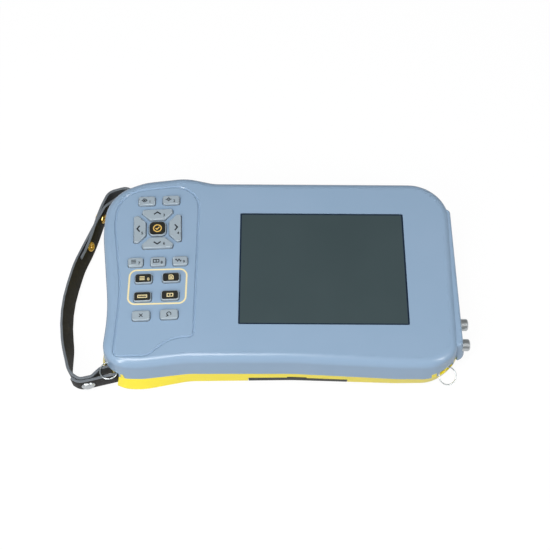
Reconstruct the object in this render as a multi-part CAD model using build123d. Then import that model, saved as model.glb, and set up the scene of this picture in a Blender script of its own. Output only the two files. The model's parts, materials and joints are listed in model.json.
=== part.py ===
from build123d import *
import os
from math import cos, radians, sin, tan

# Ultrasound scanner for a vet's rounds: a tablet-shaped housing of two shells with a
# 5.6 inch screen, a keypad on the left, two sockets on the right and a leather hand strap.
# Plan axes while modelling: +X to the right, +Y away from the user, Z up from the table.
# Everything is moved at the end so that the origin is the bottom centre of the whole thing.

# ---- heights -------------------------------------------------------------
foot_drop = 1.5            # rubber feet stand this far below the bottom shell
base_z = foot_drop
wall_turn_z = 8.0          # the yellow wall turns in below this height
seam_z = 18.0
top_z = 38.0
wall = 2.5                 # top plate and floor
plate_z = top_z - wall     # underside of the top plate
floor_z = base_z + wall

# ---- housing -------------------------------------------------------------
right_x = 124.3            # right wall at the seam
back_y = 70.8              # rear wall at the seam
side_wall = 3.0
draft = 6.0                # degrees, walls of the top shell
top_roll = 6.0             # round between the top face and the walls
cavity_roll = 2.5
shell_gap = 0.1            # between the two shells and round what they hold

# corners of the seam outline, counter-clockwise from the front left: x, y, radius
seam_outline = [
    (-119.0, -75.0, 19.0),
    (-90.0, -75.4, 45.0),
    (-60.0, -71.5, 45.0),
    (10.0, -71.1, 200.0),
    (80.0, -74.5, 60.0),
    (right_x - 18.4, -74.5, 26.0),
    (right_x - 2.3, -62.2, 16.0),
    (right_x, back_y, 30.0),
    (-46.0, back_y, 30.0),
    (-66.0, back_y + 4.6, 40.0),
    (-96.5, back_y + 0.5, 40.0),
    (-122.9, back_y - 11.0, 30.0),
    (-124.8, 30.0, 110.0),
    (-116.4, -33.0, 150.0),
]
# how far the bottom shell has moved in at the turn and at the base, at each of those corners:
# it bulges beyond the seam at the front left, where the grip is
turn_insets = [-3.3, -3.6, -1.4, -0.6, 0.9, 1.3, 1.3, 0.9, 0.9, 0.6, 0.3, 0.3, 0.3, -0.8]
base_insets = [4.0, 4.0, 8.0, 12.0, 12.0, 12.0, 12.0, 12.0, 12.0, 8.0, 5.0, 5.0, 5.0, 4.5]

# side pad for the sockets: its outer face at the seam, its ends, and its top below the top face
side_pad_front = (right_x + 2.9, -61.0)
side_pad_back = (right_x + 2.2, 52.0)
side_pad_inner_x = right_x - 26.0
side_pad_draft = 12.0
side_pad_drop = 2.0
side_pad_roll = 1.6
side_pad_corner = 7.0

seal_width = 1.4
seal_depth = 1.0
seal_inset = 0.9           # outer edge of the seal inside the wall's face
seal_gap = 0.05
seal_end_gap = 1.0         # it stops this far from the tabs beside a lug,
seal_end_depth = 12.0      # and up to this far behind the outline

# ---- screen --------------------------------------------------------------
screen_x = 31.0
screen_y = -0.5
window_size = (115.0, 86.25)
window_radius = 1.0
window_ledge = 2.5
lens_thick = 1.2
lens_drop = 0.35           # face of the lens below the top face
lens_gap = 0.2
lens_seat_gap = 0.05
gasket_thick = 1.0
lcd_size = (126.5, 99.0, 5.7)
lcd_front_z = plate_z - gasket_thick
lcd_back_z = lcd_front_z - lcd_size[2]
bracket_thick = 1.0
bracket_border = 12.0
ear_radius = 4.0           # ears of the bracket, round its screws

# ---- keypad --------------------------------------------------------------
key_turn = 3.0             # degrees, the rows rise to the right
key_proud = 1.9
key_gap = 0.35
key_round = 0.7
key_flange = 1.1           # flange beyond the key opening
pad_flange = 0.2           # the same on the crowded keys of the four-way pad
key_flange_thick = 1.2
key_travel = 0.8
key_size = (12.0, 7.2)
small_key_size = (10.4, 6.9)
key_corner = 1.7
key_places = {
    "key_1": (-93.0, 51.2, key_size),
    "key_2": (-75.8, 52.1, key_size),
    "key_7": (-97.8, 1.9, small_key_size),
    "key_8": (-82.4, 2.6, small_key_size),
    "key_9": (-67.2, 3.3, small_key_size),
    "key_menu": (-91.5, -10.6, key_size),
    "key_memo": (-72.8, -9.6, key_size),
    "key_measure": (-91.4, -24.3, key_size),
    "key_note": (-72.8, -23.1, key_size),
    "key_clear": (-91.5, -38.4, key_size),
    "key_reset": (-72.8, -37.2, key_size),
}
pad_x = -84.2              # centre of the four-way pad
pad_y = 28.7
ok_size = (12.2, 11.4)
ok_corner = 3.4
arm_inner = (8.1, 7.0)     # nearest side of the left-right and the up-down keys
arm_outer = (16.6, 15.6)
arm_inner_half = 5.2
arm_wide_half = 10.9
arm_shoulder = 3.2
arm_corner = 1.3
arm_turns = {"key_up": 0, "key_left": 90, "key_down": 180, "key_right": 270}
key_names = list(key_places) + list(arm_turns) + ["key_ok"]

groove_width = 2.0
groove_depth = 0.8
groove_outline = [
    (-108.4, -67.2, 3.5),
    (-86.2, -66.4, 8.0),
    (-70.1, -52.8, 24.0),
    (-56.0, -53.2, 4.2),
    (-56.0, 66.2, 17.5),
    (-94.6, 61.6, 60.0),
    (-112.8, 56.2, 20.0),
    (-114.6, 33.5, 60.0),
    (-106.9, -17.4, 120.0),
]

mat_thick = 1.2
dome_radius = 2.4
dome_rise = 0.2
dome_gap = 0.05            # beyond the key's travel
mat_corner = 4.0
keypad_board_thick = 1.6
keypad_top_z = plate_z - shell_gap - key_flange_thick - key_travel - dome_gap - dome_rise - mat_thick
mat_x = (-108.0, -55.0)
mat_y = (-47.5, 59.5)

# ---- sockets on the right side -------------------------------------------
socket_radius = 4.1
socket_z = 26.0
socket_y = {"probe_socket": -38.0, "aux_socket": -52.9}
socket_tip_x = right_x + 5.2
socket_length = 22.0
socket_chamfer = 0.8
socket_bore = 3.1
socket_bore_depth = 6.0
socket_tube_wall = 1.6     # round the insert, behind the bore
socket_land_x = right_x - 12.3   # inner face of the thick land that the sockets screw through
land_border = 7.0          # of that land round the sockets
socket_nut_thick = 2.0
nut_across_corners = 12.6
socket_fit = 0.05
contact_hole_radius = 0.4
contact_hole_depth = 4.0
contact_circle = 1.3

# ---- battery -------------------------------------------------------------
bay_x = (-19.7, 47.7)
bay_back_y = -10.0
bay_top_z = 12.2
bay_wall = 2.0
pack_gap = 0.3
pack_back_gap = 1.2
tongue = 1.6
tongue_z = 6.0
rail_gap = 0.12
notch_width = 13.2
notch_x = 13.3
notch_rise = 1.1
blade_count = 4
blade_pitch = 5.0
blade_inset = 12.0         # first contact blade from the bay's left side
blade_half = 0.5
blade_z = (5.2, 7.4)
blade_length = 2.7
contact_block_thick = 0.9

# ---- boards and screws ---------------------------------------------------
board_x = (-50.0, 100.0)
board_y = (-48.0, 48.0)
board_z = 14.6
board_thick = 1.6
screw_radius = 1.45
screw_hole = 1.6
pilot_gap = 0.03
head_radius = 2.7
head_height = 2.0
boss_radius = 4.4
head_gap = 0.3             # round a sunk head
cross_length = 3.2
cross_width = 0.6
cross_depth = 1.0
housing_screw_length = 25.0
housing_screw_sink = 2.6   # seat of the heads above the underside
board_screw_length = 6.5
bracket_screw_length = 5.5
keypad_screw_length = 5.0
pilot_spare = 1.0          # pilot holes beyond the screw ends
board_boss_radius = 3.2
bracket_boss_radius = 3.0
keypad_boss_radius = 2.6
housing_screw_places = [
    (-114.5, 36.0),
    (-108.0, -54.0),
    (-42.0, back_y - 16.3),
    (-42.0, -53.5),
    (62.0, -55.5),
    (right_x - 18.3, back_y - 15.3),
    (right_x - 24.0, -54.0),
]
board_screw_places = [
    (-45.0, -43.0),
    (-45.0, 43.0),
    (10.0, 43.0),
    (62.0, 43.0),
    (95.0, 43.0),
    (95.0, -43.0),
]
keypad_screw_places = [(-104.8, 44.0), (-60.0, 40.0), (-104.8, -42.0), (-60.0, -42.0)]
bracket_screw_places = [(-36.5, -40.0), (-36.5, 40.0), (98.5, -36.0), (98.5, 40.0)]

# chips on the main board: middle x, middle y, width, depth, height
chips = [
    (-20.0, 0.0, 20.0, 20.0, 1.6),
    (4.0, 0.0, 16.0, 16.0, 1.4),
    (-26.0, 24.0, 12.0, 12.0, 1.2),
    (-31.0, -29.0, 10.0, 14.0, 3.0),
    (27.0, 32.0, 14.0, 12.0, 1.2),
]
capacitor_count = 3
capacitor_start = (-40.0, 34.0)
capacitor_pitch = 9.0
capacitor_radius = 3.0
capacitor_height = 6.0
shield_place = (66.0, -6.0)
shield_size = (52.0, 60.0, 5.0)
shield_thick = 0.5

# ---- feet ----------------------------------------------------------------
foot_radius = 6.0
foot_recess = 1.0
foot_gap = 0.1
foot_round = 0.5
foot_places = [(-92.0, 40.0), (-92.0, -46.0), (92.0, 40.0), (92.0, -40.0)]

# ---- corner lugs, rings and strap ----------------------------------------
# a lug is a pocket in the corner with an upright post in its mouth: "spot" is on the outline
# in front of the post, "heading" the way the pocket faces, "mouth" the pocket's ends along
# the wall, "radius" the post's, "inset" the post's middle behind the outline, "depth" and
# "z" the pocket's depth and heights
lugs = {
    "front_left": {
        "spot": (-111.5, -70.2), "heading": 228.0, "mouth": (-8.2, 6.2),
        "radius": 1.5, "inset": 2.6, "depth": 10.0, "z": (4.6, 22.4),
    },
    "back_left": {
        "spot": (-107.4, back_y - 4.2), "heading": 116.0, "mouth": (-8.0, 8.0),
        "radius": 1.5, "inset": 2.6, "depth": 10.0, "z": (4.6, 22.4),
    },
    "front_right": {
        "spot": (right_x - 10.5, -68.5), "heading": 307.4, "mouth": (-6.5, 6.5),
        "radius": 1.0, "inset": 1.0, "depth": 5.0, "z": (16.9, 22.4),
    },
}
pocket_wall = 1.2
post_shelf = 1.6           # shelf under a post, beyond the post
post_sink = 0.3            # of the post into that shelf
tab_width = 3.4
tab_rise = 4.6
tab_depth = 2.6
ring_mid = 6.0
ring_wire = 0.42
ring_slack = 0.25
ring_heading = 296.0       # of the ring on the front right corner
ring_droop = 22.0          # of that ring, degrees below level
strap_ring_gap = 0.1       # the front left ring lies on the strap's upper edge
strap_ring_heading = 204.0

strap_wide = 13.0
strap_thick = 2.0
strap_low_z = 5.6
loop_radius = 3.7          # middle of the leather round each post
loop_slack = 0.02          # what the loop's corners are sharper by, for a straight of their own
layer_gap = 0.35           # between the two layers where they are fastened
second_layer = strap_thick + layer_gap   # middle of the outer layer beyond that of the inner
rivet_shank = 1.5
rivet_head = 3.6
rivet_head_thick = 1.1
rivet_hole_gap = 0.05
snap_head = 4.6
snap_back = 2.2            # its head on the inner face
snap_thick = 2.4
snap_round = 1.4
front_pull = 194.0         # headings in which the two loops leave their posts
back_pull = 125.0
# middle line of the leather between the two loops: x, y, radius
front_bend = (-119.3, -67.2, 5.0)
strap_run = [
    (-124.6, -73.5, 4.0),
    (-132.9, -75.5, 6.0),
    (-140.6, -70.6, 12.0),
    (-149.9, -22.0, 110.0),
    (-143.0, 14.5, 60.0),
    (-126.8, back_y - 11.6, 10.0),
]
back_bend = (-114.8, back_y - 1.0, 4.5)
tail_bend = (-110.4, back_y + 5.6, 6.5)
tail_rise = 12.5           # second bend of the tail, beyond the run's last corner
tail_bend_radius = 9.0
tail_reach = 42.5          # end of the tail, before that corner
flap_reach = 5.8           # end of the flap, beyond the run's second corner
snap_from_bend = 3.7       # snap along the run from its first corner
rivet_back = (6.4, 29.6)   # rivets before the run's last corner


# ---- outlines ------------------------------------------------------------
def round_corner(before, at, after, radius):
    """Start, middle and end of the arc that rounds one corner of an outline."""
    here = Vector(at[0], at[1])
    back = (Vector(before[0], before[1]) - here).normalized()
    onward = (Vector(after[0], after[1]) - here).normalized()
    half = radians(back.get_angle(onward)) / 2
    reach = radius / tan(half)
    middle = here + (back + onward).normalized() * (radius / sin(half) - radius)
    return here + back * reach, middle, here + onward * reach


def outline_wire(corners, z=0.0):
    """Closed wire of straight sides and tangent arcs through x, y, radius corners."""
    lift = Vector(0, 0, z)
    count = len(corners)
    arcs = []
    for i, corner in enumerate(corners):
        arcs.append(round_corner(corners[i - 1], corner, corners[(i + 1) % count], corner[2]))
    edges = []
    for i, (start, middle, end) in enumerate(arcs):
        following = arcs[(i + 1) % count]
        edges.append(Edge.make_three_point_arc(start + lift, middle + lift, end + lift))
        edges.append(Edge.make_line(end + lift, following[0] + lift))
    return Wire(edges)


def outline_face(corners, z=0.0):
    return Face(outline_wire(corners, z))


def side_normal(start, end):
    """Normal to the left of a side, which points inward on a counter-clockwise outline."""
    along = (Vector(end[0], end[1]) - Vector(start[0], start[1])).normalized()
    return Vector(-along.Y, along.X)


def meet(point_a, normal_a, point_b, normal_b):
    """Crossing of two lines, each given by a point and its normal."""
    reach_a = point_a.dot(normal_a)
    reach_b = point_b.dot(normal_b)
    cross = normal_a.X * normal_b.Y - normal_a.Y * normal_b.X
    x = (reach_a * normal_b.Y - reach_b * normal_a.Y) / cross
    y = (normal_a.X * reach_b - normal_b.X * reach_a) / cross
    return x, y


def inset(corners, amounts):
    """Outline moved in by one amount, or by one amount per corner along its mitre."""
    count = len(corners)
    steps = [amounts] * count if isinstance(amounts, (int, float)) else amounts
    moved = []
    for i, step in enumerate(steps):
        before, here, after = corners[i - 1], corners[i], corners[(i + 1) % count]
        normal_a = side_normal(before, here)
        normal_b = side_normal(here, after)
        spot = Vector(here[0], here[1])
        x, y = meet(spot + normal_a * step, normal_a, spot + normal_b * step, normal_b)
        turns_left = normal_a.X * normal_b.Y - normal_a.Y * normal_b.X > 0
        moved.append((x, y, max(here[2] - step if turns_left else here[2] + step, 1.0)))
    return moved


def box_between(x_range, y_range, z_range):
    size = [high - low for low, high in (x_range, y_range, z_range)]
    middle = [(high + low) / 2 for low, high in (x_range, y_range, z_range)]
    return Pos(*middle) * Box(*size)


def rounded_plate(width, depth, radius, z_low, z_high, x=0.0, y=0.0):
    plate = extrude(RectangleRounded(width, depth, radius), z_high - z_low)
    return Pos(x, y, z_low) * plate


def upright(x, y, radius, z_low, z_high):
    return Pos(x, y, (z_low + z_high) / 2) * Cylinder(radius, z_high - z_low)


# ---- frames of the corner lugs -------------------------------------------
def heading_vector(heading):
    return Vector(cos(radians(heading)), sin(radians(heading)))


def lug_frame(corner):
    """Plane on the outline at table height: x points out of the housing, y along the wall."""
    x, y = lugs[corner]["spot"]
    out = heading_vector(lugs[corner]["heading"])
    return Plane(origin=(x, y, 0), x_dir=(out.X, out.Y, 0), z_dir=(0, 0, 1)).location


def post_axis(corner):
    """Middle of a lug's post in the plan."""
    x, y = lugs[corner]["spot"]
    return Vector(x, y) - heading_vector(lugs[corner]["heading"]) * lugs[corner]["inset"]


def lug_box(corner, depth, along_range, z_range):
    """Box from a depth behind the outline to well outside it."""
    return lug_frame(corner) * box_between((-depth, 9.0), along_range, z_range)


def beside_mouth(corner, border):
    """Range along the wall, wider than the mouth by a border at each end."""
    start, end = lugs[corner]["mouth"]
    return start - border, end + border


def corner_pocket(corner):
    return lug_box(corner, lugs[corner]["depth"], lugs[corner]["mouth"], lugs[corner]["z"])


def pocket_lining(corner, z_range):
    return lug_box(corner, lugs[corner]["depth"] + pocket_wall, beside_mouth(corner, pocket_wall), z_range)


def corner_tabs(corner, gap):
    """The two yellow tabs that rise into the blue shell beside the pocket."""
    tabs = []
    for middle in beside_mouth(corner, pocket_wall + tab_width / 2):
        along = (middle - tab_width / 2 - gap, middle + tab_width / 2 + gap)
        tabs.append(lug_box(corner, tab_depth + gap, along, (seam_z - 0.5, seam_z + tab_rise + gap)))
    return tabs


# ---- housing -------------------------------------------------------------
def top_outer():
    lean = (top_z - seam_z) * tan(radians(draft))
    brim = outline_face(seam_outline, seam_z)
    body = loft([brim, outline_face(inset(seam_outline, lean), top_z)], ruled=True)
    return fillet(body.edges().group_by(Axis.Z)[-1], top_roll)


def side_pad():
    """Raised pad on the right wall, which takes the sockets."""
    head_z = top_z - side_pad_drop
    lean = (head_z - seam_z) * tan(radians(side_pad_draft))
    inner = [(side_pad_inner_x, side_pad_front[1]), (side_pad_inner_x, side_pad_back[1])]
    foot = [(*corner, side_pad_corner) for corner in (inner[0], side_pad_front, side_pad_back, inner[1])]
    head = inset(foot, lean)
    pad = loft([outline_face(foot, seam_z), outline_face(head, head_z)], ruled=True)
    return fillet(pad.edges().group_by(Axis.Z)[-1], side_pad_roll)


def turn_outline():
    return inset(seam_outline, turn_insets)


def base_outline():
    return inset(seam_outline, base_insets)


def bottom_outer():
    turn = outline_face(turn_outline(), wall_turn_z)
    base = outline_face(base_outline(), base_z)
    upper = loft([turn, outline_face(seam_outline, seam_z)], ruled=True)
    lower = loft([base, turn], ruled=True)
    return upper + lower


def v_groove():
    """Ring of V section that follows the keypad panel's outline."""
    half = groove_width / 2
    slope = 45.0
    reach = half / tan(radians(slope))
    wide = extrude(outline_face(inset(groove_outline, -half), top_z), -reach, taper=slope)
    core = extrude(outline_face(inset(groove_outline, half), top_z), -reach, taper=-slope)
    ring = wide - core
    return ring & box_between((-130, 0), (-90, 90), (top_z - groove_depth, top_z + 1))


def arm_outline(level, sideways, grow=0.0):
    """Corners of one key of the four-way pad, at its place above the pad's centre."""
    inner = arm_inner[0 if sideways else 1] - grow
    outer = arm_outer[0 if sideways else 1] + grow
    wide = arm_wide_half + grow
    narrow = arm_inner_half + grow * 0.5
    corners = [
        (narrow, inner, arm_corner),
        (wide, outer - arm_shoulder, arm_corner),
        (wide - 0.6, outer, arm_corner),
        (-wide + 0.6, outer, arm_corner),
        (-wide, outer - arm_shoulder, arm_corner),
        (-narrow, inner, arm_corner),
    ]
    return outline_face(corners, level)


def key_faces(name, grow, level):
    """Flat outline of a key, or of the opening round it, at one height."""
    if name in arm_turns:
        turn = arm_turns[name]
        face = arm_outline(level, turn in (90, 270), grow)
        return Pos(pad_x, pad_y) * Rot(0, 0, turn + key_turn) * face
    if name == "key_ok":
        x, y, size, corner = pad_x, pad_y, ok_size, ok_corner
    else:
        x, y, size = key_places[name]
        corner = key_corner
    shape = RectangleRounded(size[0] + 2 * grow, size[1] + 2 * grow, corner + grow)
    return Pos(x, y, level) * Rot(0, 0, key_turn) * shape


def make_key(name):
    """Cap that stands proud of the plate, on a flange that the plate holds down."""
    flange_top = plate_z - shell_gap
    cap = extrude(key_faces(name, 0.0, flange_top), top_z + key_proud - flange_top)
    cap = fillet(cap.edges().group_by(Axis.Z)[-1], key_round)
    flange_grow = key_gap + (key_flange if name in key_places else pad_flange)
    flange = extrude(key_faces(name, flange_grow, flange_top - key_flange_thick), key_flange_thick)
    return cap + flange


def along_x(x_low, x_high, y, radius):
    return Pos((x_low + x_high) / 2, y, socket_z) * Rot(0, 90, 0) * Cylinder(radius, x_high - x_low)


def make_top_shell():
    outside = top_outer() + side_pad()
    cavity_low = inset(seam_outline, side_wall)
    cavity_high = inset(seam_outline, side_wall + (plate_z - seam_z) * tan(radians(draft)))
    cavity = loft([outline_face(cavity_low, seam_z), outline_face(cavity_high, plate_z)], ruled=True)
    cavity = fillet(cavity.edges().group_by(Axis.Z)[-1], cavity_roll)

    into_plate = plate_z + 0.5
    inside = [upright(x, y, boss_radius, seam_z, into_plate) for x, y in housing_screw_places]
    inside += [upright(x, y, keypad_boss_radius, keypad_top_z, into_plate) for x, y in keypad_screw_places]
    inside += [upright(x, y, bracket_boss_radius, lcd_back_z, into_plate) for x, y in bracket_screw_places]
    for corner in lugs:
        lining = pocket_lining(corner, (seam_z, lugs[corner]["z"][1] + pocket_wall))
        inside.append(lining & outside)
    # thick land behind the side pad, for the socket threads and nuts
    border = socket_radius + land_border / 2
    land_y = (min(socket_y.values()) - border, max(socket_y.values()) + border)
    land_z = (socket_z - land_border, socket_z + land_border)
    inside.append(box_between((socket_land_x, side_pad_front[0]), land_y, land_z) & outside)
    shell = outside - cavity
    for piece in inside:
        shell += piece

    # pilot holes, each from below its boss to a little beyond its screw's end
    pilot = screw_radius + pilot_gap
    housing_screw_end = base_z + housing_screw_sink + housing_screw_length
    bracket_screw_end = lcd_back_z - bracket_thick + bracket_screw_length
    keypad_screw_end = keypad_top_z - keypad_board_thick + keypad_screw_length
    for x, y in housing_screw_places:
        shell -= upright(x, y, pilot, seam_z - 1, housing_screw_end + pilot_spare)
    for x, y in keypad_screw_places:
        shell -= upright(x, y, pilot, keypad_top_z - 1, keypad_screw_end + pilot_spare)
    for x, y in bracket_screw_places:
        shell -= upright(x, y, pilot, lcd_back_z - 1, bracket_screw_end + pilot_spare)

    # window: recess for the lens, ledge, and opening behind it
    width, depth = window_size
    recess_z = top_z - lens_drop - lens_thick - lens_seat_gap
    shell -= rounded_plate(width, depth, window_radius, recess_z, top_z + 1, screen_x, screen_y)
    through_width = width - 2 * window_ledge
    through_depth = depth - 2 * window_ledge
    shell -= rounded_plate(through_width, through_depth, window_radius, plate_z - 1, top_z, screen_x, screen_y)

    for name in key_names:
        shell -= extrude(key_faces(name, key_gap, plate_z - 1), wall + 2)
    shell -= v_groove()
    for y in socket_y.values():
        shell -= along_x(socket_land_x - 5, socket_tip_x, y, socket_radius + socket_fit)
    for corner in lugs:
        shell -= corner_pocket(corner)
        for tab in corner_tabs(corner, shell_gap):
            shell -= tab
    return shell


def make_bay_cuts():
    """Battery bay, open at the front and underneath, a slot for each tongue, and the thumb notch."""
    front = (-90.0, bay_back_y)
    slot_x = (bay_x[0] - tongue, bay_x[1] + tongue)
    slot_half = tongue / 2 + rail_gap
    notch = (notch_x - notch_width / 2, notch_x + notch_width / 2)
    return [
        box_between(bay_x, front, (base_z - 1, bay_top_z)),
        box_between(slot_x, front, (tongue_z - slot_half, tongue_z + slot_half)),
        box_between(notch, (-90.0, -66.0), (bay_top_z - 1, bay_top_z + notch_rise)),
    ]


def make_seal():
    """Soft ring in the rim's seat: the seat's own shape, and the ring a little lower."""
    low = seam_z - seal_depth
    outer = outline_face(inset(seam_outline, seal_inset), low)
    inner = outline_face(inset(seam_outline, seal_inset + seal_width), low)
    seat = extrude(outer, seal_depth) - extrude(inner, seal_depth)
    for corner in lugs:
        clear = beside_mouth(corner, pocket_wall + tab_width + seal_end_gap)
        seat -= lug_box(corner, seal_end_depth, clear, (0, top_z))
    ring = seat & box_between((-200, 200), (-200, 200), (low, seam_z - seal_gap))
    return seat, ring


def make_bottom_shell(seat):
    outside = bottom_outer()
    cavity_low = outline_face(inset(base_outline(), side_wall), floor_z)
    cavity_turn = outline_face(inset(turn_outline(), side_wall), wall_turn_z)
    cavity_high = outline_face(inset(seam_outline, side_wall), seam_z)
    shell = outside - loft([cavity_turn, cavity_high], ruled=True)
    shell -= loft([cavity_low, cavity_turn], ruled=True)

    inside = [upright(x, y, boss_radius, base_z, seam_z) for x, y in housing_screw_places]
    inside += [upright(x, y, board_boss_radius, base_z, board_z) for x, y in board_screw_places]
    for corner in lugs:
        inside.append(pocket_lining(corner, (lugs[corner]["z"][0] - pocket_wall, seam_z)))
    bay_border = bay_wall + tongue
    bay_block_x = (bay_x[0] - bay_border, bay_x[1] + bay_border)
    bay_block_y = (-90.0, bay_back_y + bay_wall)
    inside.append(box_between(bay_block_x, bay_block_y, (base_z, bay_top_z + bay_wall)))
    for piece in inside:
        shell += piece & outside

    for corner in lugs:
        shell -= corner_pocket(corner)
    for x, y in housing_screw_places:
        shell -= upright(x, y, screw_hole, base_z - 1, seam_z + 1)
        shell -= upright(x, y, head_radius + head_gap, base_z - 1, base_z + housing_screw_sink)
    for x, y in board_screw_places:
        screw_end = board_z + board_thick - board_screw_length
        shell -= upright(x, y, screw_radius + pilot_gap, screw_end - pilot_spare, board_z + 1)
    for x, y in foot_places:
        shell -= upright(x, y, foot_radius, base_z - 1, base_z + foot_recess)
    for cut in make_bay_cuts():
        shell -= cut
    shell -= seat

    # posts in the pockets, the shelves under them, and the tabs beside them
    plan = extrude(outline_face(seam_outline, base_z), seam_z - base_z)
    top_outside = top_outer()
    for corner, lug in lugs.items():
        low, high = lug["z"]
        middle = post_axis(corner)
        shell += upright(middle.X, middle.Y, lug["radius"] + post_shelf, low - pocket_wall, low) & plan
        shell += upright(middle.X, middle.Y, lug["radius"], low - post_sink, high - shell_gap)
        for tab in corner_tabs(corner, 0.0):
            shell += tab & top_outside
    return shell


def make_feet():
    feet = []
    for x, y in foot_places:
        foot = upright(x, y, foot_radius - foot_gap, 0, base_z + foot_recess)
        feet.append(fillet(foot.edges().group_by(Axis.Z)[0], foot_round))
    return feet


def make_screw(x, y, seat_z, length, points_up=True):
    """Pan-head screw: its head on one side of the seat, its shank on the other."""
    way = 1 if points_up else -1
    top_of_head = seat_z - way * head_height
    shank = upright(x, y, screw_radius, *sorted((seat_z, seat_z + way * length)))
    head = upright(x, y, head_radius, *sorted((seat_z, top_of_head)))
    cross_z = sorted((top_of_head, top_of_head + way * cross_depth))
    long = cross_length / 2
    short = cross_width / 2
    cross = box_between((x - long, x + long), (y - short, y + short), cross_z)
    cross += box_between((x - short, x + short), (y - long, y + long), cross_z)
    return shank + head - cross


# ---- screen stack --------------------------------------------------------
def screen_plate(width, depth, radius, z_low, z_high):
    return rounded_plate(width, depth, radius, z_low, z_high, screen_x, screen_y)


def make_screen():
    width, depth = window_size
    lens_top = top_z - lens_drop
    lens_low = lens_top - lens_thick
    lens = screen_plate(width - 2 * lens_gap, depth - 2 * lens_gap, window_radius, lens_low, lens_top)
    lcd_width, lcd_depth = lcd_size[:2]
    gasket = screen_plate(lcd_width - 1, lcd_depth - 1, 2.0, lcd_front_z, plate_z)
    gasket -= screen_plate(width, depth, 1.0, lcd_front_z - 1, plate_z + 1)
    lcd = screen_plate(lcd_width, lcd_depth, 1.5, lcd_back_z, lcd_front_z)
    bracket_low = lcd_back_z - bracket_thick
    bracket = screen_plate(lcd_width, lcd_depth, 2.0, bracket_low, lcd_back_z)
    opening = (lcd_width - 2 * bracket_border, lcd_depth - 2 * bracket_border)
    bracket -= screen_plate(*opening, 4.0, bracket_low - 1, lcd_back_z + 1)
    for x, y in bracket_screw_places:
        edge_x = screen_x + (lcd_width / 2 - 3) * (1 if x > screen_x else -1)
        ear_y = (y - ear_radius, y + ear_radius)
        bracket += box_between(sorted((edge_x, x)), ear_y, (bracket_low, lcd_back_z))
        bracket += upright(x, y, ear_radius, bracket_low, lcd_back_z)
    for x, y in bracket_screw_places:
        bracket -= upright(x, y, screw_hole, bracket_low - 1, lcd_back_z + 1)
    screws = [make_screw(x, y, bracket_low, bracket_screw_length) for x, y in bracket_screw_places]
    return lens, gasket, lcd, bracket, screws


# ---- keypad stack --------------------------------------------------------
def key_centre(name):
    if name in key_places:
        return key_places[name][:2]
    middle = Pos(pad_x, pad_y)
    if name in arm_turns:
        turn = arm_turns[name]
        index = 0 if turn in (90, 270) else 1
        middle = middle * Rot(0, 0, turn + key_turn) * Pos(0, (arm_inner[index] + arm_outer[index]) / 2)
    return middle.position.X, middle.position.Y


def make_keypad():
    """Rubber mat with a dome under each key, the board it lies on, and the board's screws."""
    mat_high = keypad_top_z + mat_thick
    board_low = keypad_top_z - keypad_board_thick
    mat = box_between(mat_x, mat_y, (keypad_top_z, mat_high))
    mat = fillet(mat.edges().filter_by(Axis.Z), mat_corner)
    for name in key_names:
        x, y = key_centre(name)
        mat += upright(x, y, dome_radius, mat_high - 0.1, mat_high + dome_rise)
    board = box_between(mat_x, mat_y, (board_low, keypad_top_z))
    board = fillet(board.edges().filter_by(Axis.Z), mat_corner)
    for x, y in keypad_screw_places:
        mat -= upright(x, y, keypad_boss_radius + head_gap, keypad_top_z - 1, mat_high + 1)
        board -= upright(x, y, screw_hole, board_low - 1, keypad_top_z + 1)
    screws = [make_screw(x, y, board_low, keypad_screw_length) for x, y in keypad_screw_places]
    return mat, board, screws


# ---- main board ----------------------------------------------------------
def make_electronics():
    """Main board with its chips and capacitors, the shield over the receivers, and the screws."""
    board_top = board_z + board_thick
    board = box_between(board_x, board_y, (board_z, board_top))
    board = fillet(board.edges().filter_by(Axis.Z), 3)
    for x, y in board_screw_places:
        board -= upright(x, y, screw_hole, board_z - 1, board_top + 1)
    parts = []
    for x, y, width, depth, height in chips:
        parts.append(Pos(x, y, board_top + height / 2) * Box(width, depth, height))
    for i in range(capacitor_count):
        x = capacitor_start[0] + capacitor_pitch * i
        parts.append(upright(x, capacitor_start[1], capacitor_radius, board_top, board_top + capacitor_height))
    width, depth, height = shield_size
    inner = (width - 2 * shield_thick, depth - 2 * shield_thick)
    shield = rounded_plate(width, depth, 2.0, board_top, board_top + height, *shield_place)
    shield = fillet(shield.edges().group_by(Axis.Z)[-1], shield_thick)
    shield -= rounded_plate(*inner, 1.6, board_top - 1, board_top + height - shield_thick, *shield_place)
    screws = []
    for x, y in board_screw_places:
        screws.append(make_screw(x, y, board_top, board_screw_length, points_up=False))
    return board, parts, shield, screws


# ---- battery -------------------------------------------------------------
def make_battery():
    """Pack that slides in from the front on a tongue at each side, and the bay's contacts."""
    pack_y = (-90.0, bay_back_y - pack_back_gap)
    body = box_between((bay_x[0] + pack_gap, bay_x[1] - pack_gap), pack_y, (base_z - 1, bay_top_z - pack_gap))
    reach = tongue - rail_gap
    tongue_x = (bay_x[0] - reach, bay_x[1] + reach)
    tongues = box_between(tongue_x, pack_y, (tongue_z - tongue / 2, tongue_z + tongue / 2))
    pack = (body + tongues) & bottom_outer()
    blade_x = [bay_x[0] + blade_inset + blade_pitch * i for i in range(blade_count)]
    low, high = blade_z
    block_x = (blade_x[0] - blade_pitch / 2, blade_x[-1] + blade_pitch / 2)
    block_front = bay_back_y - contact_block_thick
    contacts = [box_between(block_x, (block_front, bay_back_y), (low - 1.6, high + 1.6))]
    for x in blade_x:
        blade_x_range = (x - blade_half, x + blade_half)
        contacts.append(box_between(blade_x_range, (block_front - blade_length, block_front), blade_z))
        # slot in the pack, wider and deeper than the blade by the pack's gap
        slot_x = (x - blade_half - pack_gap, x + blade_half + pack_gap)
        slot_y = (block_front - blade_length - pack_gap, bay_back_y)
        pack -= box_between(slot_x, slot_y, (low - pack_gap, high + pack_gap))
    return pack, contacts


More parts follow.
